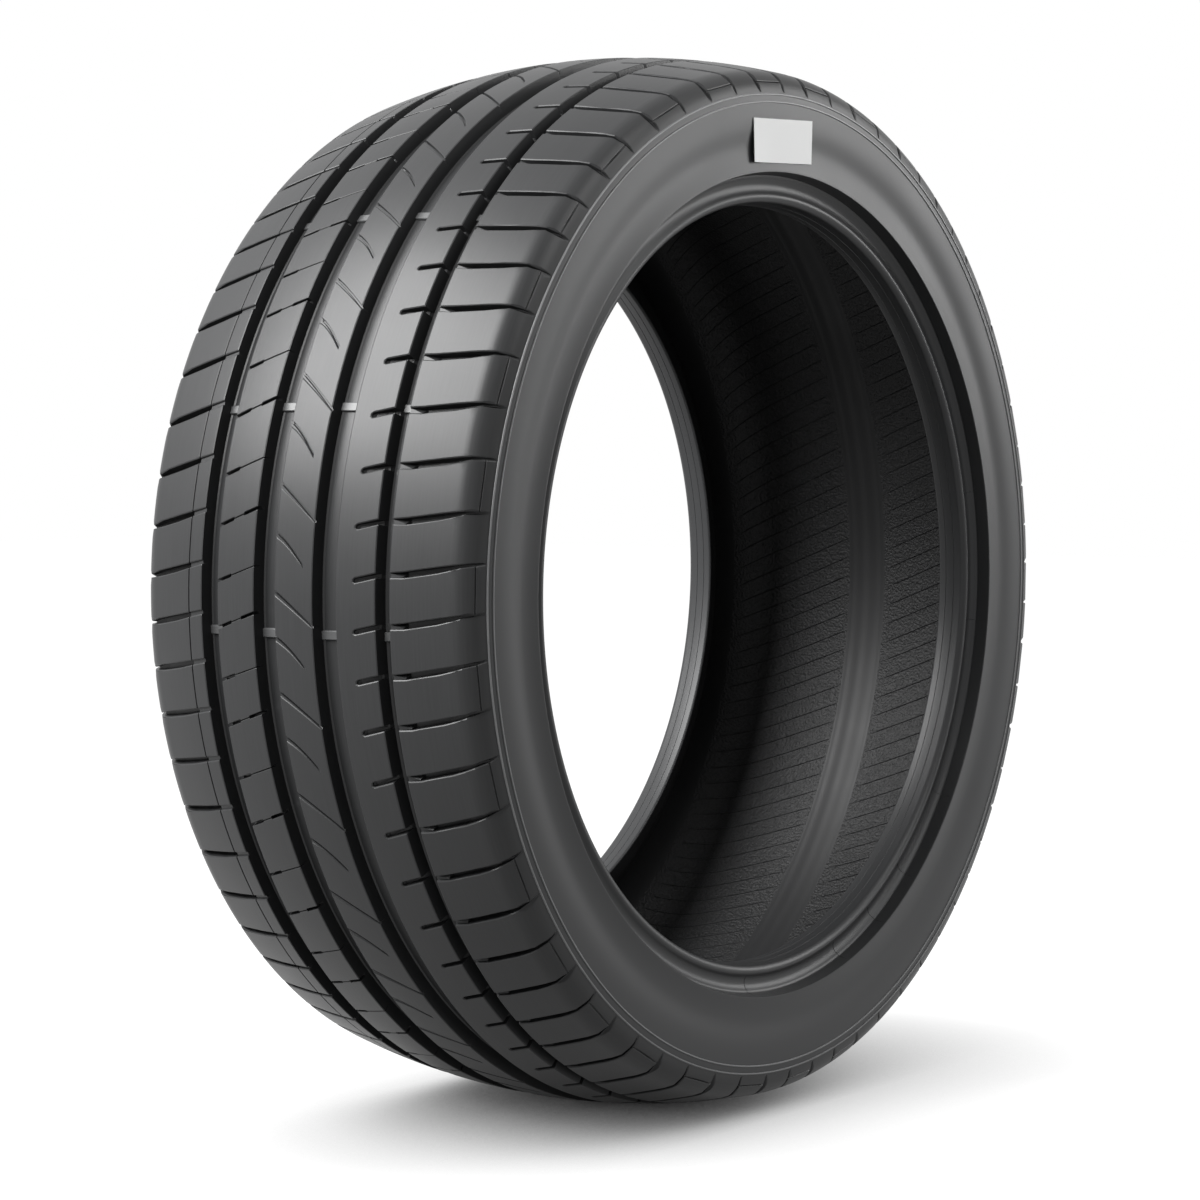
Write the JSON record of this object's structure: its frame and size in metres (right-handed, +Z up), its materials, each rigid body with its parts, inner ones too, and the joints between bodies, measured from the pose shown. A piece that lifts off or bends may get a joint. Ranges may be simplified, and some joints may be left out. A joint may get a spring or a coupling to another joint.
{
  "type": "car tyre",
  "caption": "Low section car tyre with an asymmetric tread of straight main grooves, curved sipes and shoulder grooves, and a blank card on its outer sidewall.",
  "frame": {"origin": "wheel centre, where the spin axis crosses the middle plane of the tread", "axes": "Y is the spin axis and the outer sidewall faces -Y; +Z is up, with the tyre standing on a small flat of its tread at -Z"},
  "size_m": [0.6452, 0.2422, 0.6442],
  "materials": {
    "tyre_rubber": "satin black moulded rubber",
    "label_card": "matt white card"
  },
  "bodies": {
    "root": {"tyre": "tyre_rubber", "blank_label": "label_card"}
  },
  "joints": []
}
